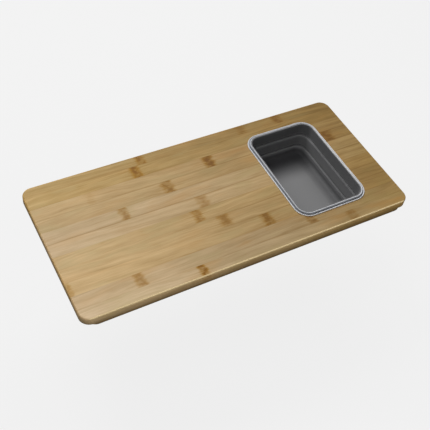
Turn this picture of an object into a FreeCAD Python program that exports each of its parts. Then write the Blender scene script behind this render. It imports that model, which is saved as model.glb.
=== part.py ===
# Over-sink cutting board of laminated bamboo with one collapsible drop-in tray. Millimetres, +Z up.
# The origin is the middle of the board in the plane of the two end ledges, on which it rests on a sink.
# X runs along the board, with the tray towards +X, and the front edge is at -Y.

import FreeCAD, Part
import os

from Sketcher import Constraint

os.makedirs("parts", exist_ok=True)
doc = FreeCAD.newDocument("cutting_board")

# ---------------------------------------------------------------- driving dimensions

SIZES = [
    ("board_length", 430.0, "length of the upper layer along X"),
    ("board_width", 195.0, "width of both layers along Y"),
    ("upper_thickness", 10.0, "thickness of the upper layer above the ledges"),
    ("lower_thickness", 5.0, "how far the lower layer reaches below the ledges"),
    ("ledge_inset", 7.0, "how far the lower layer stops short of each end"),
    ("ledge_relief", 0.4, "how far the ledges are routed into the upper layer, above the glue line"),
    ("corner_radius", 12.5, "plan radius of the upper layer's corners"),
    ("lower_corner_radius", 12.0, "plan radius of the lower layer's corners"),
    ("top_edge_radius", 1.8, "rounding of the upper layer's top edge"),
    ("bottom_edge_radius", 1.5, "rounding of the lower layer's bottom edge"),
    ("strip_width", 18.2, "width of a full bamboo strip"),
    ("narrowest_strip", 4.0, "narrowest strip left at a long edge or beside the cut-out"),
    ("tray_from_end", 94.0, "tray centre from the board's right end"),
    ("opening_width", 90.2, "tray mouth along X, inside the wall at the top of its lining"),
    ("opening_length", 133.6, "tray mouth along Y, inside the wall at the top of its lining"),
    ("opening_radius", 13.5, "plan radius of the tray mouth's corners"),
    ("flange_reach", 5.6, "rim flange, from the mouth's edge outwards"),
    ("flange_thickness", 1.2, "rim flange above the board"),
    ("ridge_width", 1.3, "raised ridge round the flange's outer edge"),
    ("ridge_edge_radius", 0.55, "rounding of the ridge's two top edges"),
    ("groove_depth", 0.7, "depth of the groove between ridge and bead"),
    ("bead_width", 2.0, "raised bead round the wall's lining"),
    ("bead_height", 3.0, "top of the bead above the board"),
    ("bead_radius", 0.9, "rounding of the bead's two top edges"),
    ("lining_height", 2.3, "top of the wall's lining inside the bead, above the board"),
    ("skirt_thickness", 1.2, "rim skirt that locates the tray in the cut-out"),
    ("skirt_depth", 8.0, "rim skirt below the board's top face"),
    ("cutout_clearance", 0.6, "gap between the rim skirt and the board"),
    ("wall_thickness", 1.2, "silicone wall of the tray"),
    ("wall_draft", 1.0, "lean of the tray walls, in degrees"),
    ("first_fold_depth", 13.9, "upper fold ledge below the board's top face"),
    ("second_fold_depth", 30.5, "lower fold ledge below the board's top face"),
    ("floor_depth", 42.0, "tray floor below the board's top face"),
    ("floor_thickness", 1.8, "tray floor"),
    ("floor_edge_radius", 5.0, "inside rounding between wall and floor"),
    ("fold_gap", 1.6, "from one band's inside to the next band's outside"),
    ("fold_clearance", 0.3, "side clearance of each fold lip"),
    ("lip_thickness", 1.2, "thickness of each fold lip"),
    ("fold_edge_radius", 2.3, "rounding of the inner top edge of each lower band"),
    ("fold_corner_gain", 2.0, "how much rounder each lower band's corners are than an even offset"),
]

sheet = doc.addObject("Spreadsheet::Sheet", "Sizes")
for row, (alias, value, meaning) in enumerate(SIZES, start=1):
    sheet.set(f"A{row}", meaning)
    sheet.set(f"B{row}", str(value))
    sheet.setAlias(f"B{row}", alias)
doc.recompute()


def cell(alias):
    """The expression that reads one cell of the sheet."""
    return f"Sizes.{alias}"


def size(alias):
    """The number in one cell of the sheet."""
    return float(sheet.get(alias))


# ---------------------------------------------------------------- making bodies

def new_body(label, move_x="0", move_z="0"):
    """A PartDesign body placed along X and Z by two expressions."""
    body = doc.addObject("PartDesign::Body", label)
    body.Label = label
    body.setExpression("Placement.Base.x", move_x)
    body.setExpression("Placement.Base.z", move_z)
    return body


def rounded_rectangle(body, name, outline, level, centre_x="0"):
    """A sketch of a rounded rectangle parallel to XY, fully constrained and centred on the body's Z axis."""
    size_x, size_y, radius = outline
    sketch = body.newObject("Sketcher::SketchObject", name)
    plane = next(item for item in body.Origin.OriginFeatures if item.Role == "XY_Plane")
    sketch.AttachmentSupport = [(plane, "")]
    sketch.MapMode = "FlatFace"
    sketch.setExpression("AttachmentOffset.Base.x", centre_x)
    sketch.setExpression("AttachmentOffset.Base.z", level)
    half_x = float(sketch.evalExpression(size_x)) / 2
    half_y = float(sketch.evalExpression(size_y)) / 2
    corner = float(sketch.evalExpression(radius))
    flat_x = half_x - corner
    flat_y = half_y - corner
    straights = [
        ((-flat_x, -half_y), (flat_x, -half_y)),
        ((half_x, -flat_y), (half_x, flat_y)),
        ((flat_x, half_y), (-flat_x, half_y)),
        ((-half_x, flat_y), (-half_x, -flat_y)),
    ]
    arc_centres = [(flat_x, -flat_y), (flat_x, flat_y), (-flat_x, flat_y), (-flat_x, -flat_y)]
    quarter = FreeCAD.Units.Quantity("90 deg").getValueAs("rad").Value
    up = FreeCAD.Vector(0, 0, 1)
    for (start, end), centre, turn in zip(straights, arc_centres, range(4)):
        sketch.addGeometry(Part.LineSegment(FreeCAD.Vector(*start, 0), FreeCAD.Vector(*end, 0)))
        circle = Part.Circle(FreeCAD.Vector(*centre, 0), up, corner)
        sketch.addGeometry(Part.ArcOfCircle(circle, (turn - 1) * quarter, turn * quarter))
    first, last, origin = 1, 2, -1  # the sketcher's numbers for a curve's ends and for the origin
    bottom, first_arc, right, top, left = 0, 1, 2, 4, 6
    for element in range(8):
        sketch.addConstraint(Constraint("Tangent", element, last, (element + 1) % 8, first))
    for side in (bottom, top):
        sketch.addConstraint(Constraint("Horizontal", side))
    for side in (left, right):
        sketch.addConstraint(Constraint("Vertical", side))
    for arc in (3, 5, 7):
        sketch.addConstraint(Constraint("Equal", first_arc, arc))
    sketch.addConstraint(Constraint("Symmetric", bottom, first, top, first, origin, first))
    driven = [
        ("size_x", Constraint("DistanceX", left, first, right, first, 2 * half_x), size_x),
        ("size_y", Constraint("DistanceY", bottom, first, top, first, 2 * half_y), size_y),
        ("radius", Constraint("Radius", first_arc, corner), radius),
    ]
    for constraint_name, constraint, expression in driven:
        index = sketch.addConstraint(constraint)
        sketch.renameConstraint(index, constraint_name)
        sketch.setExpression(f"Constraints.{constraint_name}", expression)
    return sketch


def pad(body, name, outline, level, length, down=False, draft="0", centre_x="0"):
    """A pad of a rounded rectangle from a level, up or down; a draft makes it narrower as it goes."""
    feature = body.newObject("PartDesign::Pad", name)
    feature.Profile = rounded_rectangle(body, f"{name}_outline", outline, level, centre_x)
    feature.Reversed = down
    feature.setExpression("Length", length)
    feature.setExpression("TaperAngle", f"-({draft})")
    doc.recompute()
    return feature


def pocket(body, name, outline, level, length, draft="0", centre_x="0"):
    """A pocket of a rounded rectangle, cut downwards from a level; a draft makes it narrower as it goes."""
    before = body.Shape.Volume
    feature = body.newObject("PartDesign::Pocket", name)
    feature.Profile = rounded_rectangle(body, f"{name}_outline", outline, level, centre_x)
    feature.setExpression("Length", length)
    feature.setExpression("TaperAngle", f"-({draft})")
    doc.recompute()
    if body.Shape.Volume >= before:
        raise RuntimeError(f"{name} cuts nothing")
    return feature


def flat_loops(feature, level):
    """The outer and the inner loops of edges of the flat faces at one level of a feature."""
    shape = feature.Shape
    outer = []
    inner = []
    for face in shape.Faces:
        box = face.BoundBox
        if box.ZLength > 1e-6 or abs(box.ZMin - level) > 1e-6:
            continue
        for wire in face.Wires:
            (outer if wire.isSame(face.OuterWire) else inner).extend(wire.Edges)
    return outer, inner


def fillet(body, name, edges, radius):
    """A fillet on chosen edges of the body's last feature."""
    base = body.Tip
    numbers = [i for i, edge in enumerate(base.Shape.Edges, start=1) if any(edge.isSame(e) for e in edges)]
    feature = body.newObject("PartDesign::Fillet", name)
    feature.Base = (base, [f"Edge{i}" for i in numbers])
    feature.setExpression("Radius", radius)
    doc.recompute()
    return feature


# ---------------------------------------------------------------- outlines measured from the tray mouth

def mouth_outline(offset, folds=0):
    """The tray mouth's rounded rectangle grown outwards by an expression (negative is inwards).

    Each fold above an outline makes its corners rounder than an even offset would.
    """
    return (
        f"{cell('opening_width')} + 2 * ({offset})",
        f"{cell('opening_length')} + 2 * ({offset})",
        f"{cell('opening_radius')} + {offset} + {folds} * {cell('fold_corner_gain')}",
    )


TRAY_X = f"{cell('board_length')} / 2 - {cell('tray_from_end')}"

# Offsets of the faces from the mouth's edge. Each band is one wall and one fold gap inside the band above.
WALL = cell("wall_thickness")
GAP = cell("fold_gap")
CLEARANCE = cell("fold_clearance")
LIP = cell("lip_thickness")
LINING = cell("lining_height")
LEAN_TO_FIRST_FOLD = f"({cell('first_fold_depth')} + {LINING}) * tan({cell('wall_draft')})"
LEAN_TO_SECOND_FOLD = f"({cell('second_fold_depth')} + {LINING}) * tan({cell('wall_draft')})"
UPPER_OUTSIDE = WALL
UPPER_INSIDE = "0"
MIDDLE_OUTSIDE = f"-({LEAN_TO_FIRST_FOLD} + {GAP})"
MIDDLE_INSIDE = f"{MIDDLE_OUTSIDE} - {WALL}"
MIDDLE_LIP = f"-({LEAN_TO_FIRST_FOLD} + {CLEARANCE})"
PAN_OUTSIDE = f"-({LEAN_TO_SECOND_FOLD} + 2 * {GAP} + {WALL})"
PAN_INSIDE = f"{PAN_OUTSIDE} - {WALL}"
PAN_LIP = f"-({LEAN_TO_SECOND_FOLD} + {GAP} + {WALL} + {CLEARANCE})"
BEAD_OUTSIDE = f"{WALL} + {cell('bead_width')}"
SKIRT_OUTSIDE = f"{WALL} + {cell('skirt_thickness')}"
CUTOUT = f"{SKIRT_OUTSIDE} + {cell('cutout_clearance')}"

# ---------------------------------------------------------------- board layers

UPPER_OUTLINE = (cell("board_length"), cell("board_width"), cell("corner_radius"))
LOWER_LENGTH = f"{cell('board_length')} - 2 * {cell('ledge_inset')}"
LOWER_OUTLINE = (LOWER_LENGTH, cell("board_width"), cell("lower_corner_radius"))
GLUE_LINE = f"-{cell('ledge_relief')}"


def tray_cutout(layer, name, top, thickness):
    """The cut-out through a layer, which the tray's skirt drops into."""
    pocket(layer, name, mouth_outline(CUTOUT), top, thickness, centre_x=TRAY_X)


upper_layer = new_body("upper_layer")
pad(upper_layer, "upper_slab", UPPER_OUTLINE, "0", cell("upper_thickness"))
pad(upper_layer, "glue_land", LOWER_OUTLINE, "0", cell("ledge_relief"), down=True)
upper_height = f"{cell('upper_thickness')} + {cell('ledge_relief')}"
tray_cutout(upper_layer, "upper_cutout", cell("upper_thickness"), upper_height)
top_edges, _ = flat_loops(upper_layer.Tip, size("upper_thickness"))
fillet(upper_layer, "top_edge_rounding", top_edges, cell("top_edge_radius"))

lower_layer = new_body("lower_layer")
lower_height = f"{cell('lower_thickness')} - {cell('ledge_relief')}"
pad(lower_layer, "lower_slab", LOWER_OUTLINE, GLUE_LINE, lower_height, down=True)
tray_cutout(lower_layer, "lower_cutout", GLUE_LINE, lower_height)
bottom_edges, _ = flat_loops(lower_layer.Tip, -size("lower_thickness"))
fillet(lower_layer, "bottom_edge_rounding", bottom_edges, cell("bottom_edge_radius"))

# ---------------------------------------------------------------- bamboo strips

BEYOND = 1  # how far the cutting slabs reach past the layers


def strip_joints_each_side():
    """How many joints lie on each side of the middle strip; the outermost strip takes what is left."""
    beside_middle = (size("board_width") - size("strip_width")) / 2 - size("narrowest_strip")
    return int(beside_middle / size("strip_width")) + 1


def strip_ranges():
    """Each strip's place, with its Y range as expressions, from the middle strip out to both edges."""
    strip = cell("strip_width")
    edge = f"{cell('board_width')} / 2 + {BEYOND}"
    joints = [f"{step + 0.5} * {strip}" for step in range(strip_joints_each_side())] + [edge]
    ranges = {"middle": (f"-0.5 * {strip}", joints[0])}
    for number, (inner, outer) in enumerate(zip(joints, joints[1:]), start=1):
        ranges[f"back_{number}"] = (inner, outer)
        ranges[f"front_{number}"] = (f"-({outer})", f"-({inner})")
    return ranges


def lengthwise_parts(y_range):
    """The X ranges of a strip's lengths: two across the cut-out, three beside it, and elsewhere one."""
    left_end = f"-{cell('board_length')} / 2 - {BEYOND}"
    right_end = f"{cell('board_length')} / 2 + {BEYOND}"
    half_cutout = float(sheet.evalExpression(mouth_outline(CUTOUT)[1])) / 2
    inner, outer = sorted(abs(float(sheet.evalExpression(y))) for y in y_range)
    if outer - half_cutout < size("narrowest_strip"):
        return {"_left": (left_end, TRAY_X), "_right": (TRAY_X, right_end)}
    if inner - half_cutout < size("narrowest_strip"):
        half_side = f"{cell('opening_width')} / 2 - {cell('opening_radius')}"
        side_left = f"{TRAY_X} - ({half_side})"
        side_right = f"{TRAY_X} + {half_side}"
        return {
            "_left": (left_end, side_left),
            "_beside": (side_left, side_right),
            "_right": (side_right, right_end),
        }
    return {"": (left_end, right_end)}


def bamboo_strip(layer, label, *ranges):
    """The part of a layer that lies in one box, given by its X, Y and Z ranges of expressions."""
    box = doc.addObject("Part::Box", f"{label}_box")
    for side, axis, (low, high) in zip(("Length", "Width", "Height"), "xyz", ranges):
        box.setExpression(side, f"({high}) - ({low})")
        box.setExpression(f"Placement.Base.{axis}", low)
    strip = doc.addObject("Part::Common", label)
    strip.Label = label
    strip.Base = layer
    strip.Tool = box
    return strip


def part_into_strips(layer, prefix, z_range):
    """All strips of one layer."""
    strips = []
    for place, y_range in strip_ranges().items():
        for side, x_range in lengthwise_parts(y_range).items():
            strips.append(bamboo_strip(layer, f"{prefix}_strip_{place}{side}", x_range, y_range, z_range))
    return strips


above_board = f"{cell('upper_thickness')} + {BEYOND}"
below_board = f"-{cell('lower_thickness')} - {BEYOND}"
upper_strips = part_into_strips(upper_layer, "upper", (below_board, above_board))
lower_strips = part_into_strips(lower_layer, "lower", (below_board, above_board))

# ---------------------------------------------------------------- tray rim


def tray_body(label):
    """A body of the tray: its origin is the middle of the mouth, on the board's top face."""
    return new_body(label, TRAY_X, cell("upper_thickness"))


rim = tray_body("tray_rim")
pad(rim, "flange", mouth_outline(cell("flange_reach")), "0", cell("flange_thickness"))
groove_outside = f"{cell('flange_reach')} - {cell('ridge_width')}"
pocket(rim, "groove", mouth_outline(groove_outside), cell("flange_thickness"), cell("groove_depth"))
pad(rim, "bead", mouth_outline(BEAD_OUTSIDE), "0", cell("bead_height"))
pad(rim, "skirt", mouth_outline(SKIRT_OUTSIDE), "0", cell("skirt_depth"), down=True)
pocket(rim, "mouth", mouth_outline(UPPER_OUTSIDE), cell("bead_height"), f"{cell('bead_height')} - {LINING}")
seat_depth = f"{LINING} + {cell('skirt_depth')}"
pocket(rim, "wall_seat", mouth_outline(UPPER_OUTSIDE), LINING, seat_depth, draft=cell("wall_draft"))
bead_outer, bead_inner = flat_loops(rim.Tip, size("bead_height"))
fillet(rim, "bead_rounding", bead_outer + bead_inner, cell("bead_radius"))
ridge_outer, ridge_inner = flat_loops(rim.Tip, size("flange_thickness"))
fillet(rim, "ridge_rounding", ridge_outer + ridge_inner, cell("ridge_edge_radius"))

# ---------------------------------------------------------------- tray walls
# Each band hangs by a lip on its top edge from an inward lip at the foot of the band above it.

DRAFT = cell("wall_draft")
FIRST_FOLD = f"-{cell('first_fold_depth')}"
SECOND_FOLD = f"-{cell('second_fold_depth')}"
FLOOR = f"-{cell('floor_depth')}"


def wall_band(label, folds, outside, inside, top, next_fold, passage, lip_outside=None):
    """A band of wall from its top down to the inward lip that carries the band below."""
    body = tray_body(label)
    to_seat = f"({top}) - ({next_fold}) + {LIP}"
    wall_outline = mouth_outline(outside, folds)
    pad(body, f"{label}_wall", wall_outline, top, f"{to_seat} + {LIP}", down=True, draft=DRAFT)
    if lip_outside:
        pad(body, f"{label}_lip", mouth_outline(lip_outside, folds - 1), top, LIP, down=True)
    pocket(body, f"{label}_inside", mouth_outline(inside, folds), top, to_seat, draft=DRAFT)
    pocket(body, f"{label}_passage", mouth_outline(passage, folds + 1), f"{next_fold} - {LIP}", LIP)
    return body


def round_fold(body, label, depth):
    """Rounds the inner top edge of a band that starts at a fold."""
    _, inner = flat_loops(body.Tip, -size(depth))
    fillet(body, f"{label}_fold_rounding", inner, cell("fold_edge_radius"))


upper_wall = wall_band("tray_wall_upper", 0, UPPER_OUTSIDE, UPPER_INSIDE, LINING, FIRST_FOLD,
                       f"{MIDDLE_OUTSIDE} + {CLEARANCE}")
middle_wall = wall_band("tray_wall_middle", 1, MIDDLE_OUTSIDE, MIDDLE_INSIDE, FIRST_FOLD, SECOND_FOLD,
                        f"{PAN_OUTSIDE} + {CLEARANCE}", lip_outside=MIDDLE_LIP)
round_fold(middle_wall, "middle", "first_fold_depth")

# ---------------------------------------------------------------- tray pan

pan = tray_body("tray_pan")
inside_depth = f"({SECOND_FOLD}) - ({FLOOR})"
outside_depth = f"{inside_depth} + {cell('floor_thickness')}"
pad(pan, "pan_wall", mouth_outline(PAN_OUTSIDE, 2), SECOND_FOLD, outside_depth, down=True, draft=DRAFT)
pad(pan, "pan_lip", mouth_outline(PAN_LIP, 1), SECOND_FOLD, LIP, down=True)
pocket(pan, "pan_inside", mouth_outline(PAN_INSIDE, 2), SECOND_FOLD, inside_depth, draft=DRAFT)
floor_edge, _ = flat_loops(pan.Tip, -size("floor_depth"))
fillet(pan, "floor_rounding", floor_edge, cell("floor_edge_radius"))
round_fold(pan, "pan", "second_fold_depth")
underside, _ = flat_loops(pan.Tip, -size("floor_depth") - size("floor_thickness"))
fillet(pan, "pan_foot", underside, f"{cell('floor_edge_radius')} + {WALL}")

# ---------------------------------------------------------------- check and export

nodes = upper_strips + lower_strips + [rim, upper_wall, middle_wall, pan]
doc.recompute()
for item in doc.Objects:
    if "Invalid" in item.State or "Error" in item.State:
        raise RuntimeError(f"{item.Label} did not compute: {item.State}")
for node in nodes:
    if node.Shape.isNull() or not node.Shape.isValid() or len(node.Shape.Solids) != 1:
        raise RuntimeError(f"{node.Label} is not one sound solid")
for node in nodes:
    node.Shape.exportStep(f"parts/{node.Label}.step")
print(f"{len(nodes)} pieces written")
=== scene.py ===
"""Looks for a bamboo board that sits over a sink, with one drop-in folding tray.

Lengths are in metres, in the part's own frame: X runs along the board, Y from its front to its back.
"""
import math

import bmesh
import bpy
from mathutils import Matrix, Vector


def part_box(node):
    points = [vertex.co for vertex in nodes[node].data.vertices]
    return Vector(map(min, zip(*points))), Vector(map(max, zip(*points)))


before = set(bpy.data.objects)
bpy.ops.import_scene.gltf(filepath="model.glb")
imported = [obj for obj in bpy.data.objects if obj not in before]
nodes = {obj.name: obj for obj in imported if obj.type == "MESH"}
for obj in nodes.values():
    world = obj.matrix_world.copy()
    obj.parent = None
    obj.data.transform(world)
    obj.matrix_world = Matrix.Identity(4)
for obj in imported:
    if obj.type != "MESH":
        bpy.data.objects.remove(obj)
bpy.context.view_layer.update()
MM = 0.001


# ---------------------------------------------------------------- colours and shader sums

def linear(red, green, blue):
    """A colour given in display values from 0 to 255, as the renderer's own linear colour."""
    channels = []
    for value in (red, green, blue):
        share = value / 255
        channels.append(share / 12.92 if share <= 0.04045 else ((share + 0.055) / 1.055) ** 2.4)
    return (*channels, 1.0)


def grey(value):
    """A grey given as a linear value from 0 to 1."""
    return (value, value, value, 1.0)


class Signal:
    """A value that runs through a shader, and can be used in sums."""

    def __init__(self, finish, socket):
        self.finish = finish
        self.socket = socket

    def sum(self, operation, *terms):
        """One Math node on the terms, which are values or plain numbers."""
        return self.finish.node("ShaderNodeMath", {"operation": operation}, dict(enumerate(terms)))

    def __add__(self, other):
        return self.sum("ADD", self, other)

    def __radd__(self, other):
        return self.sum("ADD", other, self)

    def __sub__(self, other):
        return self.sum("SUBTRACT", self, other)

    def __rsub__(self, other):
        return self.sum("SUBTRACT", other, self)

    def __mul__(self, other):
        return self.sum("MULTIPLY", self, other)

    def __rmul__(self, other):
        return self.sum("MULTIPLY", other, self)

    def __truediv__(self, other):
        return self.sum("DIVIDE", self, other)

    def __rtruediv__(self, other):
        return self.sum("DIVIDE", other, self)

    def __pow__(self, other):
        return self.sum("POWER", self, other)

    def __abs__(self):
        return self.sum("ABSOLUTE", self)

    def larger(self, other):
        return self.sum("MAXIMUM", self, other)

    def smaller(self, other):
        return self.sum("MINIMUM", self, other)


class Finish:
    """A node material that is being put together."""

    def __init__(self, name, tree=None):
        if tree is None:
            self.material = bpy.data.materials.new(name)
            self.material.use_nodes = True
            tree = self.material.node_tree
        self.tree = tree
        self.tree.nodes.clear()

    def node(self, kind, settings=None, inputs=None, output=0):
        """Adds one node, sets it up, and returns one of its outputs, or several for a tuple of names."""
        made = self.tree.nodes.new(kind)
        for name, value in (settings or {}).items():
            setattr(made, name, value)
        for name, value in (inputs or {}).items():
            if isinstance(value, Signal):
                self.tree.links.new(value.socket, made.inputs[name])
            else:
                made.inputs[name].default_value = value
        if not made.outputs:
            return None
        if isinstance(output, tuple):
            return tuple(Signal(self, made.outputs[name]) for name in output)
        return Signal(self, made.outputs[output])

    def place(self):
        """The point of the piece, in metres."""
        return self.node("ShaderNodeTexCoord", output="Object")

    def axes(self, point):
        """The three coordinates of a point, as three values."""
        return self.node("ShaderNodeSeparateXYZ", inputs={0: point}, output=("X", "Y", "Z"))

    def rays(self):
        """Whether the camera sees a surface straight on, and whether it sees it in any way."""
        seen, mirrored, through = self.node(
            "ShaderNodeLightPath", output=("Is Camera Ray", "Is Glossy Ray", "Is Transmission Ray"))
        return seen, seen.larger(mirrored).larger(through)

    def inside_outline(self, along, across, half_length, half_width, corner):
        """How far a point lies inside a rounded rectangle that is centred on the origin."""
        past_x = (abs(along) - (half_length - corner)).larger(0.0)
        past_y = (abs(across) - (half_width - corner)).larger(0.0)
        beyond = (past_x * past_x + past_y * past_y) ** 0.5
        return corner - beyond

    def noise(self, point, repeats, shift=(0, 0, 0), detail=2.0, roughness=0.5):
        """Noise whose grains number `repeats` to the metre along each axis."""
        spread = self.node(
            "ShaderNodeMapping", {"vector_type": "POINT"},
            {"Vector": point, "Location": shift, "Scale": repeats})
        return self.node(
            "ShaderNodeTexNoise", {"noise_dimensions": "3D", "normalize": True},
            {"Vector": spread, "Scale": 1.0, "Detail": detail, "Roughness": roughness})

    def ramp(self, value, low, high, smooth=True):
        """0 below low, 1 above high, with a soft or an even passage between them."""
        return self.node(
            "ShaderNodeMapRange",
            {"interpolation_type": "SMOOTHSTEP" if smooth else "LINEAR", "clamp": True},
            {"Value": value, "From Min": low, "From Max": high, "To Min": 0.0, "To Max": 1.0})

    def between(self, value, rise, fall):
        """1 between two soft passages: it rises over the first stretch and falls over the second."""
        return self.ramp(value, *rise) * (1.0 - self.ramp(value, *fall))

    def near(self, value, middle, full, gone):
        """1 as far as `full` to either side of a middle, fading to 0 at `gone`."""
        return 1.0 - self.ramp(abs(value - middle), full, gone)

    def blend(self, share, first, second, kind="MIX"):
        """Goes from the first colour to the second, or to their product, as share goes from 0 to 1."""
        return self.node(
            "ShaderNodeMix", {"data_type": "RGBA", "blend_type": kind, "clamp_factor": True},
            {0: share, 6: first, 7: second}, output=2)

    def dim(self, colour, strength):
        """The colour times one number."""
        return self.node("ShaderNodeVectorMath", {"operation": "SCALE"}, {0: colour, "Scale": strength})

    def relief(self, height, depth, strength):
        """A bump whose full height is depth, in metres."""
        return self.node(
            "ShaderNodeBump", inputs={"Strength": strength, "Distance": depth, "Height": height})

    def surface(self, **sockets):
        """Ends the material in one principled shader."""
        shader = self.node(
            "ShaderNodeBsdfPrincipled",
            inputs={name.replace("_", " "): value for name, value in sockets.items()})
        return self.close(shader)

    def close(self, shader):
        """Ends the material in a shader."""
        self.node("ShaderNodeOutputMaterial", inputs={"Surface": shader})
        return self.material


# ---------------------------------------------------------------- bamboo: tones and strips

# Wood tones as they leave the planer, under plain light: pale fibre first, then dark fibre.
TONES = {
    "honey": (linear(194, 164, 110), linear(158, 128, 76)),
    "biscuit": (linear(196, 169, 122), linear(162, 135, 88)),
    "amber": (linear(182, 152, 93), linear(146, 116, 58)),
    "straw": (linear(196, 171, 126), linear(163, 138, 93)),
}
# From left to right the colour is multiplied from the first of these to the second: a painted sheen, paler
# and bluer at the left, and a deeper wood tone at the right.
SHEEN_AND_RIPENING = ((1.16, 1.20, 1.50, 1.0), (0.76, 0.69, 0.52, 1.0))
# Places along the board, and across it, between which a change in the wood starts and ends.
SHEEN_AND_RIPENING_SPAN = (-200 * MM, 200 * MM)
LIGHTNESS_TURNS = (-180 * MM, 60 * MM)
JOINTS_TURN = (-60 * MM, 20 * MM)
RIGHT_END = (110 * MM, 200 * MM)
BEHIND_FRONT_STRIP = (-78 * MM, -48 * MM)
# The sawn sides are a little more golden than the planed faces: their colour is multiplied by this.
SAWN = (1.06, 1.00, 0.87, 1.0)
ORANGE_CAST = linear(190, 144, 80)
OLIVE_CAST = linear(168, 150, 98)
GROWTH_BROWN = linear(150, 107, 16)
GROWTH_CORE = linear(112, 68, 0)
GLUE_BROWN = linear(124, 88, 16)
# A painted highlight along the rounded front edge.
FRONT_HIGHLIGHT = linear(255, 229, 176)

# Each strip has its tone, its lightness at the left and at the right, how dark the joint in front of it is
# at the left and at the right, and its growth nodes. A growth node has its middle along the board and its
# length, both in millimetres, and how brown it is. The upper strips' lightness, falling from left to
# right, also paints the sheen that is brightest at the left.
UPPER_STRIPS = {
    "back_5": ("amber", (0.99, 0.84), (0.30, 0.40), ((-66, 12, 0.9), (77, 13, 0.5), (132.5, 13, 0.75))),
    "back_4": ("amber", (1.07, 0.89), (0.30, 0.60), ((-78.5, 13, 1.0),)),
    "back_3": ("honey", (0.99, 0.87), (0.70, 1.00), ((12.3, 14, 1.0), (-145, 9, 0.15))),
    "back_2": ("honey", (0.94, 0.90), (0.10, 0.80), ((-53, 14, 0.8), (180, 17, 0.85))),
    "back_1": ("biscuit", (0.98, 0.97), (1.00, 1.00), ((-118, 11, 0.65),)),
    "middle": ("biscuit", (1.04, 1.02), (0.20, 0.55), ((-24.5, 14, 0.5),)),
    "front_1": ("honey", (1.09, 0.99), (0.15, 1.00), ((-41, 12, 0.7),)),
    "front_2": ("honey", (1.13, 0.92), (0.10, 0.90), ((-14.5, 14, 0.65),)),
    "front_3": ("honey", (1.17, 0.92), (0.15, 0.60), ((33.5, 14, 0.8), (-213, 7, 0.5))),
    "front_4": ("biscuit", (1.10, 0.86), (0.50, 0.50), ((-138.7, 11.5, 0.6), (82.5, 11, 0.7))),
    "front_5": ("straw", (1.20, 0.92), (0.20, 0.20), ((-70.5, 10, 1.0), (133, 13, 0.5))),
}
# The lower layer's lightness, lower than the upper layer's, paints shade on it.
LOWER_STRIPS = {
    "back_5": ("honey", (0.86, 0.86), (0.4, 0.5), ((40, 13, 0.7),)),
    "back_4": ("biscuit", (0.84, 0.84), (0.5, 0.3), ((-150, 13, 0.8), (110, 12, 0.6))),
    "back_3": ("amber", (0.86, 0.86), (0.8, 0.4), ((-35, 14, 0.9),)),
    "back_2": ("honey", (0.84, 0.84), (0.3, 0.6), ((-95, 12, 0.6), (186, 13, 0.7))),
    "back_1": ("honey", (0.88, 0.88), (0.6, 0.9), ((18, 14, 0.8),)),
    "middle": ("biscuit", (0.82, 0.82), (0.4, 0.3), ((-170, 13, 0.8),)),
    "front_1": ("amber", (0.88, 0.88), (0.9, 0.5), ((-62, 14, 0.7), (190, 12, 0.6))),
    "front_2": ("honey", (0.83, 0.83), (0.4, 0.7), ((44, 13, 0.9),)),
    "front_3": ("biscuit", (0.86, 0.86), (0.5, 0.4), ((-122, 13, 0.6),)),
    "front_4": ("honey", (0.84, 0.84), (0.7, 0.5), ((-8, 13, 0.8),)),
    "front_5": ("honey", (0.84, 0.84), (0.4, 0.4), ((-84, 13, 0.7), (150, 12, 0.6))),
}
NO_JOINT = (0.0, 0.0)
# Every strip has a seed of its own, which shifts and leans its grain.
FIRST_SEED = {"upper": 1, "lower": 31}

board_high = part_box("upper_strip_front_5")[1]
HALF_LENGTH = board_high.x
HALF_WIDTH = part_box("upper_strip_back_5")[1].y
BOARD_TOP = board_high.z
PLAN_CORNER = 12.5 * MM
ARRIS = 1.8 * MM


# ---------------------------------------------------------------- bamboo: finish

# How far the fibres wander across the board, slowly and in ripples, and how steeply a strip's fibres lean.
DRIFT = 10 * MM
RIPPLE = 3.2 * MM
MOST_LEAN = 0.03
# How far the grain goes from its middle value before the wood is all pale or all dark fibre.
GRAIN_SPREAD = 0.14
# How far a growth node's ends wander along the board.
GROWTH_WANDER = 10 * MM
JOINT_WIDTH = 1.6 * MM
# The sides have a lightness of their own; painted shade darkens them toward their foot, and they get
# lighter between these two heights.
SIDE_LIGHTNESS = 0.95
SIDE_SHADE_HEIGHTS = (-3 * MM, 8 * MM)
WOOD_RELIEF = 0.06 * MM


def strip_grain(make, point, shift, lean):
    """A strip's fibres, its grain from fine to broad, its slow change of cast, and its flecks."""
    along, across, up = make.axes(point)
    drift = make.noise(point, (9, 24, 24), shift, detail=1.0)
    ripple = make.noise(point, (48, 110, 110), shift)
    bent = across + along * lean + (drift - 0.5) * DRIFT + (ripple - 0.5) * RIPPLE
    grown = make.node("ShaderNodeCombineXYZ", inputs={0: along, 1: bent, 2: up})
    fibres = make.noise(grown, (21, 640, 640), shift, detail=4.0, roughness=0.7)
    bands = make.noise(grown, (8, 210, 210), shift)
    clouds = make.noise(grown, (22, 90, 90), shift)
    casts = make.noise(grown, (16, 55, 55), (shift[1], shift[2], shift[0]))
    flecks = make.noise(grown, (60, 2200, 2200), shift, detail=1.0)
    grain = fibres * 0.40 + bands * 0.32 + clouds * 0.28
    return fibres, grain, casts, flecks


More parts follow.
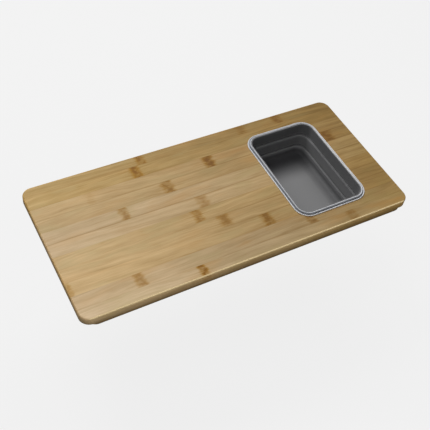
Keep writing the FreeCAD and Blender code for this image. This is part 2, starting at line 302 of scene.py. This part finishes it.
def planed_wood(make, tone, ripeness_and_sheen, grain, casts, pores):
    """Plain wood: its two tones by the grain, with orange, olive and pore-brown casts."""
    light, dark = TONES[tone]
    contrast = 0.78 + ripeness_and_sheen * 0.45
    share = make.ramp((grain - 0.5) * contrast, -GRAIN_SPREAD, GRAIN_SPREAD, smooth=False)
    colour = make.blend(share, light, dark)
    orange = make.ramp(casts, 0.50, 0.72) * (0.14 + ripeness_and_sheen * 0.34)
    colour = make.blend(orange, colour, ORANGE_CAST)
    olive = (1.0 - make.ramp(casts, 0.30, 0.48)) * 0.35
    colour = make.blend(olive, colour, OLIVE_CAST)
    return make.blend(pores * 0.22, colour, GROWTH_BROWN)


def growth_marks(make, point, along, fibres, shift, growth_nodes):
    """Where growth nodes cross a strip: a ragged brown band with streaks beside it, and its dark core."""
    wobble = make.noise(point, (30, 190, 190), shift, detail=3.0, roughness=0.6)
    patches = make.noise(point, (130, 230, 230), (shift[2], shift[0], shift[1]))
    ragged = along + (wobble - 0.5) * GROWTH_WANDER
    streak = make.ramp(fibres, 0.44, 0.62)
    dark_patch = make.ramp(patches, 0.34, 0.62)
    brown = 0.0
    core = 0.0
    for middle, length, strength in growth_nodes:
        reach = (ragged - middle * MM) / (length / 2 * MM)  # -1 and 1 are the node's two ends
        band = make.between(reach, (-1.5, -0.6), (0.6, 1.4))
        inner = make.between(reach, (-1.0, -0.2), (0.3, 1.0))
        tail = make.between(reach, (-4.5, -1.0), (1.0, 3.2))
        brown = brown + (band * (0.60 + dark_patch * 0.40) + tail * streak * 0.25) * strength
        core = core + inner * (0.20 + dark_patch * 0.80) * strength ** 1.6
    return brown.smaller(1.0), core.smaller(1.0)


def joint_line(make, along, distance, shades, line_noise):
    """The thin brown line at one joint, as dark as its shade at the left and its shade at the right."""
    left, right = shades
    shade = left + make.ramp(along, *JOINTS_TURN) * (right - left)
    line = 1.0 - make.ramp(distance, 0.0, JOINT_WIDTH)
    return line * (0.35 + make.ramp(line_noise, 0.32, 0.60) * 0.65) * shade


def glue_lines(make, point, along, across, shift, joints, edges):
    """The joints at the front and the back of a strip."""
    in_front, behind = joints
    edge_front, edge_back = edges
    line_noise = make.noise(point, (14, 60, 60), shift)
    front_line = joint_line(make, along, across - edge_front, in_front, line_noise)
    back_line = joint_line(make, along, edge_back - across, behind, line_noise)
    return front_line.larger(back_line)


def lightness_along(make, along, across, side, lightness):
    """A strip's lightness from left to right, which also paints sheen brightest at the left; the board's
    right end is duller, but not at the front.
    """
    left, right = lightness
    level = left + make.ramp(along, *LIGHTNESS_TURNS) * (right - left)
    end = make.ramp(along, *RIGHT_END)
    front_end = end * (1.0 - make.ramp(across, *BEHIND_FRONT_STRIP)) * (1.0 - side)
    level = level * (1.0 - end * 0.11 + front_end * 0.24)
    return level + (SIDE_LIGHTNESS - level) * side * 0.80


def sawn_sides(make, colour, up, side):
    """Colours the board's sides, which are more golden than its faces, with painted shade that darkens
    them toward their foot.
    """
    colour = make.blend(side, colour, SAWN, kind="MULTIPLY")
    side_shade_level = 0.36 + make.ramp(up, *SIDE_SHADE_HEIGHTS, smooth=False) * 0.90
    return make.dim(colour, 1.0 + (side_shade_level - 1.0) * side)


def painted_front_highlight(make, colour, across, up):
    """Colours the rounded top edge along the front pale, a painted highlight."""
    at_front = 1.0 - make.ramp(across + HALF_WIDTH, 0.6 * ARRIS, 1.1 * ARRIS)
    near_top = make.ramp(up, BOARD_TOP - 0.9 * ARRIS, BOARD_TOP - 0.2 * ARRIS)
    return make.blend(at_front * near_top * 0.95, colour, FRONT_HIGHLIGHT)


def bamboo(layer, strip, seed, tone, lightness, growth_nodes, joints, edges):
    """The finish of one strip: long fibres, growth nodes, and a thin glue line at each joint."""
    make = Finish(f"bamboo_{layer}_{strip}")
    point = make.place()
    along, across, up = make.axes(point)
    shift = (seed * 3.7, seed * 5.3, seed * 1.9)
    lean = MOST_LEAN * math.sin(seed * 2.4)
    fibres, grain, casts, flecks = strip_grain(make, point, shift, lean)
    pores = make.ramp(flecks, 0.60, 0.76)
    ripeness_and_sheen = make.ramp(along, *SHEEN_AND_RIPENING_SPAN, smooth=False)
    colour = planed_wood(make, tone, ripeness_and_sheen, grain, casts, pores)

    inset = make.inside_outline(along, across, HALF_LENGTH, HALF_WIDTH, PLAN_CORNER)
    side = 1.0 - make.ramp(inset, 0.2 * MM, ARRIS)
    brown, core = growth_marks(make, point, along, fibres, shift, growth_nodes)
    on_faces = 1.0 - side * 0.75
    colour = make.blend(brown * on_faces * 0.90, colour, GROWTH_BROWN)
    colour = make.blend(core * on_faces * 0.78, colour, GROWTH_CORE)
    glue = glue_lines(make, point, along, across, shift, joints, edges)
    colour = make.blend(glue * 0.46, colour, GLUE_BROWN)

    level = lightness_along(make, along, across, side, lightness)
    # Painted sheen and ripening: paler and bluer toward the left end, deeper toward the right.
    sheen_and_ripening_tint = make.blend(ripeness_and_sheen, *SHEEN_AND_RIPENING)
    colour = make.blend(1.0, make.dim(colour, level), sheen_and_ripening_tint, kind="MULTIPLY")
    colour = sawn_sides(make, colour, up, side)
    if layer == "upper":
        colour = painted_front_highlight(make, colour, across, up)

    height = fibres * 0.6 + flecks * 0.4 - glue * 0.8
    rough = 0.44 + fibres * 0.10 + pores * 0.10 + side * 0.35
    return make.surface(
        Base_Color=colour, Roughness=rough, Specular_IOR_Level=0.12,
        Normal=make.relief(height, WOOD_RELIEF, 0.5))


def strip_nodes(layer, strip):
    """The CAD nodes that one strip of a layer is made of."""
    lengths = ("", "_left", "_beside", "_right")
    possible = [f"{layer}_strip_{strip}{length}" for length in lengths]
    return [name for name in possible if name in nodes]


def finish_node(name, material):
    """Gives a CAD node one material."""
    mesh = nodes[name].data
    mesh.materials.clear()
    mesh.materials.append(material)


def finish_layer(layer, strips):
    """Finishes a layer of the board strip by strip, from the back to the front."""
    behind = NO_JOINT
    for number, (strip, (tone, lightness, joint, growth_nodes)) in enumerate(strips.items()):
        members = strip_nodes(layer, strip)
        boxes = [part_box(member) for member in members]
        edges = (min(low.y for low, high in boxes), max(high.y for low, high in boxes))
        in_front = NO_JOINT if strip == "front_5" else joint
        seed = FIRST_SEED[layer] + number
        material = bamboo(
            layer, strip, seed, tone, lightness, growth_nodes, (in_front, behind), edges)
        behind = joint
        for member in members:
            finish_node(member, material)


finish_layer("upper", UPPER_STRIPS)
finish_layer("lower", LOWER_STRIPS)


# ---------------------------------------------------------------- tray

# The tray's middle, mouth, folds and floor, from the boxes of its pieces.
rim_low, rim_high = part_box("tray_rim")
TRAY_MIDDLE = (rim_low.x + rim_high.x) / 2
FLANGE_REACH = 5.6 * MM
MOUTH_HALF_LENGTH = (rim_high.x - rim_low.x) / 2 - FLANGE_REACH
MOUTH_HALF_WIDTH = (rim_high.y - rim_low.y) / 2 - FLANGE_REACH
MOUTH_CORNER = 13.5 * MM
FOLDS = (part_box("tray_wall_middle")[1].z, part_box("tray_pan")[1].z)
FLOOR_THICKNESS = 1.8 * MM
TRAY_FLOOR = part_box("tray_pan")[0].z + FLOOR_THICKNESS

RIM_PALE = linear(216, 216, 218)
RIM_HAZE = linear(202, 203, 205)
RIM_DULL = linear(176, 178, 184)
RIM_GROOVE_SHADE = linear(84, 93, 106)
# The rim gets duller over this stretch toward the back.
RIM_DULLS = (15 * MM, 70 * MM)
# The painted shade in the groove between bead and ridge starts and ends over these two short stretches
# outside the mouth.
GROOVE_START = (1.9 * MM, 2.5 * MM)
GROOVE_END = (3.9 * MM, 4.4 * MM)

RUBBER_GREY = linear(132, 132, 133)
RUBBER_DUSTY = linear(124, 124, 125)
RUBBER_FOLD_LIGHT = linear(156, 156, 157)
RUBBER_SHADE = linear(100, 100, 101)
RUBBER_LIT = linear(158, 158, 158)
RUBBER_SHADOW = linear(64, 64, 66)
# Over these two stretches toward the back, the side walls turn to the back one, and the painted shadow on
# the floor deepens.
WALL_TURNS = (30 * MM, 60 * MM)
FLOOR_SHADOW_DEEPENS = (12 * MM, 46 * MM)
# The floor's painted light: its distance inside the mouth, its shift forward, and its fade inward.
LIT_INSET = 8 * MM
LIT_FORWARD = 6 * MM
LIT_FADE = 34 * MM
SOFT_RELIEF = 0.02 * MM


def satin_plastic():
    """The stiff pale rim: fine moulded texture, duller at the back, with painted shade in its groove."""
    make = Finish("rim_plastic")
    point = make.place()
    along, across, _ = make.axes(point)
    grain = make.noise(point, (2600, 2600, 2600), detail=1.0)
    haze = make.noise(point, (35, 35, 35), detail=3.0)
    colour = make.blend(haze, RIM_PALE, RIM_HAZE)
    dull = make.ramp(across, *RIM_DULLS) * 0.60
    colour = make.blend(dull, colour, RIM_DULL)
    outside = -1.0 * make.inside_outline(
        along - TRAY_MIDDLE, across, MOUTH_HALF_LENGTH, MOUTH_HALF_WIDTH, MOUTH_CORNER)
    groove_shade = make.between(outside, GROOVE_START, GROOVE_END)
    colour = make.blend(groove_shade * (0.62 + haze * 0.16), colour, RIM_GROOVE_SHADE)
    return make.surface(
        Base_Color=colour, Roughness=0.34 + haze * 0.10, Specular_IOR_Level=0.4,
        Normal=make.relief(grain, SOFT_RELIEF, 0.3))


def wall_tones(make, across, up):
    """How dark the walls are painted at each height as shade, and the painted light just below their
    folds, strongest on the back one.
    """
    at_back = make.ramp(across, *WALL_TURNS)
    # Painted shade: under the rim, just below each fold on the side walls, on each fold's lip, and at the
    # foot.
    dark = make.ramp(up, FOLDS[0] - 1.0 * MM, FOLDS[0] + 4.0 * MM) * 0.55
    fold_light = 0.0
    for fold in FOLDS:
        below = make.near(up, fold - 1.2 * MM, 0.5 * MM, 2.6 * MM)
        dark = dark.larger(below * (1.0 - at_back) * 0.50)
        on_lip = make.near(up, fold, 0.3 * MM, 0.9 * MM)
        dark = dark.larger(on_lip * 0.85)
        # Painted light just below each fold.
        fold_light = fold_light + make.near(up, fold - 1.0 * MM, 0.5 * MM, 4.5 * MM)
    above_foot = make.ramp(up, TRAY_FLOOR + 3.0 * MM, TRAY_FLOOR + 9.0 * MM)
    return dark.larger(1.0 - above_foot), fold_light.smaller(1.0) * (0.06 + at_back * 0.60)


def floor_tones(make, along, across, up):
    """Where the floor is painted lighter toward its middle, and where painted shadow darkens it toward the
    back.
    """
    inset = make.inside_outline(
        along - TRAY_MIDDLE, across + LIT_FORWARD, MOUTH_HALF_LENGTH - LIT_INSET,
        MOUTH_HALF_WIDTH - LIT_INSET, MOUTH_CORNER)
    on_floor = 1.0 - make.ramp(up, TRAY_FLOOR + 0.1 * MM, TRAY_FLOOR + 2.5 * MM)
    floor_light = make.ramp(inset, 0.0, LIT_FADE) * on_floor
    near_floor = 1.0 - make.ramp(up, TRAY_FLOOR, TRAY_FLOOR + 7.0 * MM)
    floor_shadow = make.ramp(across, *FLOOR_SHADOW_DEEPENS) * near_floor
    return floor_light, floor_shadow


def silicone():
    """The soft grey walls and floor: matt rubber with dust, and painted light and shade on it."""
    make = Finish("silicone")
    point = make.place()
    along, across, up = make.axes(point)
    grain = make.noise(point, (3200, 3200, 3200), detail=1.0)
    dust = make.noise(point, (60, 60, 60), detail=4.0, roughness=0.6)
    dark, fold_light = wall_tones(make, across, up)
    floor_light, floor_shadow = floor_tones(make, along, across, up)
    colour = make.blend(dust, RUBBER_GREY, RUBBER_DUSTY)
    colour = make.blend(fold_light, colour, RUBBER_FOLD_LIGHT)
    colour = make.blend(dark, colour, RUBBER_SHADE)
    colour = make.blend(floor_light * (0.88 + dust * 0.12), colour, RUBBER_LIT)
    colour = make.blend(floor_shadow * 0.80, colour, RUBBER_SHADOW)
    return make.surface(
        Base_Color=colour, Roughness=0.55 + dust * 0.14, Specular_IOR_Level=0.15,
        Normal=make.relief(grain, SOFT_RELIEF, 0.25))


finish_node("tray_rim", satin_plastic())
rubber = silicone()
for wall in ("tray_wall_upper", "tray_wall_middle", "tray_pan"):
    finish_node(wall, rubber)


# ---------------------------------------------------------------- floor, light and camera

# How pale the floor and the surroundings show, and how much light each really sends to the object.
PALE = 0.893
FLOOR_BOUNCE = 0.45
SKY_FILL = 0.06
GROUND_FILL = 0.03
# The share of the floor's shadow that is taken away.
SHADOW_SOFTENED = 0.94
FLOOR_HEIGHT = -0.16
FLOOR_HALF_SIZE = 6.0

# Each soft light has its place, its width and depth, and its power. All look at the board's middle.
SOFT_LIGHTS = {
    "key_light": ((-0.25, 0.95, 1.30), 0.65, 0.65, 14),
    "wide_light": ((0.60, 0.95, 1.20), 0.90, 0.60, 10.5),
    "left_light": ((-0.55, 0.05, 0.95), 0.45, 0.45, 2.4),
    "front_light": ((0.25, -1.30, 0.62), 0.80, 0.30, 1.0),
    "front_card": ((0.12, -1.50, 0.0), 1.20, 0.16, 5.3),
}

# The camera turns to the right of straight back, tilts down, and leans about its own line of sight.
CAMERA_PLACE = (-0.34418, -0.47712, 0.66909)
CAMERA_TURN = math.radians(35.492)
CAMERA_TILT = math.radians(49.862)
CAMERA_LEAN = math.radians(9.554)
SENSOR_WIDTH = 36
FOCAL_LENGTH = 61.677


def pale_floor():
    """Floor that shows pale, keeps a faint shadow, and sends back less light than it shows."""
    make = Finish("pale_floor")
    seen, shown = make.rays()
    behind = make.node("ShaderNodeNewGeometry", output="Backfacing")
    shade = make.blend(shown, grey(FLOOR_BOUNCE), grey(PALE))
    matt = make.node("ShaderNodeBsdfDiffuse", inputs={"Color": shade})
    glow = make.node("ShaderNodeEmission", inputs={"Color": grey(PALE), "Strength": 1.0})
    clear = make.node("ShaderNodeBsdfTransparent")
    lit = make.node("ShaderNodeMixShader", inputs={0: shown * SHADOW_SOFTENED, 1: matt, 2: glow})
    return make.close(make.node("ShaderNodeMixShader", inputs={0: behind * seen, 1: lit, 2: clear}))


def pale_world():
    """Surroundings that show plain and pale, and send the object a dim fill, brighter from overhead."""
    world = bpy.data.worlds.new("surroundings")
    world.use_nodes = True
    bpy.context.scene.world = world
    make = Finish("surroundings", world.node_tree)
    _, shown = make.rays()
    _, _, height = make.axes(make.node("ShaderNodeTexCoord", output="Generated"))
    shade = make.blend(make.ramp(height, -0.2, 0.9), grey(GROUND_FILL), grey(SKY_FILL))
    fill = make.node("ShaderNodeBackground", inputs={"Color": shade, "Strength": 1.0})
    pale = make.node("ShaderNodeBackground", inputs={"Color": grey(PALE), "Strength": 1.0})
    mixed = make.node("ShaderNodeMixShader", inputs={0: shown, 1: fill, 2: pale})
    make.node("ShaderNodeOutputWorld", inputs={"Surface": mixed})


def floor_sheet():
    """A wide flat floor below the object."""
    shape = bmesh.new()
    bmesh.ops.create_grid(shape, x_segments=1, y_segments=1, size=FLOOR_HALF_SIZE)
    bmesh.ops.translate(shape, verts=shape.verts, vec=(0, 0, FLOOR_HEIGHT))
    mesh = bpy.data.meshes.new("floor")
    shape.to_mesh(mesh)
    shape.free()
    mesh.materials.append(pale_floor())
    floor = bpy.data.objects.new("floor", mesh)
    bpy.context.scene.collection.objects.link(floor)


def soft_light(name, place, width, depth, power):
    """A rectangular soft light that looks at the board's middle."""
    lamp = bpy.data.lights.new(name, "AREA")
    lamp.shape = "RECTANGLE"
    lamp.size = width
    lamp.size_y = depth
    lamp.energy = power
    holder = bpy.data.objects.new(name, lamp)
    holder.location = place
    holder.rotation_mode = "QUATERNION"
    holder.rotation_quaternion = (-Vector(place)).to_track_quat("-Z", "Y")
    holder.visible_camera = False
    bpy.context.scene.collection.objects.link(holder)


def camera():
    """Stands beyond the front left corner, looks down at the board, and leans a little."""
    forward = Vector((
        math.sin(CAMERA_TURN) * math.cos(CAMERA_TILT),
        math.cos(CAMERA_TURN) * math.cos(CAMERA_TILT),
        -math.sin(CAMERA_TILT)))
    level = Vector((math.cos(CAMERA_TURN), -math.sin(CAMERA_TURN), 0))
    down = forward.cross(level)
    right = level * math.cos(CAMERA_LEAN) - down * math.sin(CAMERA_LEAN)
    below = down * math.cos(CAMERA_LEAN) + level * math.sin(CAMERA_LEAN)
    lens = bpy.data.cameras.new("camera")
    lens.sensor_width = SENSOR_WIDTH
    lens.lens = FOCAL_LENGTH
    holder = bpy.data.objects.new("camera", lens)
    turned = Matrix((right, -below, -forward)).transposed().to_4x4()
    holder.matrix_world = Matrix.Translation(CAMERA_PLACE) @ turned
    bpy.context.scene.collection.objects.link(holder)
    bpy.context.scene.camera = holder


pale_world()
floor_sheet()
for light_name, light in SOFT_LIGHTS.items():
    soft_light(light_name, *light)
camera()
bpy.context.scene.view_settings.view_transform = "Standard"
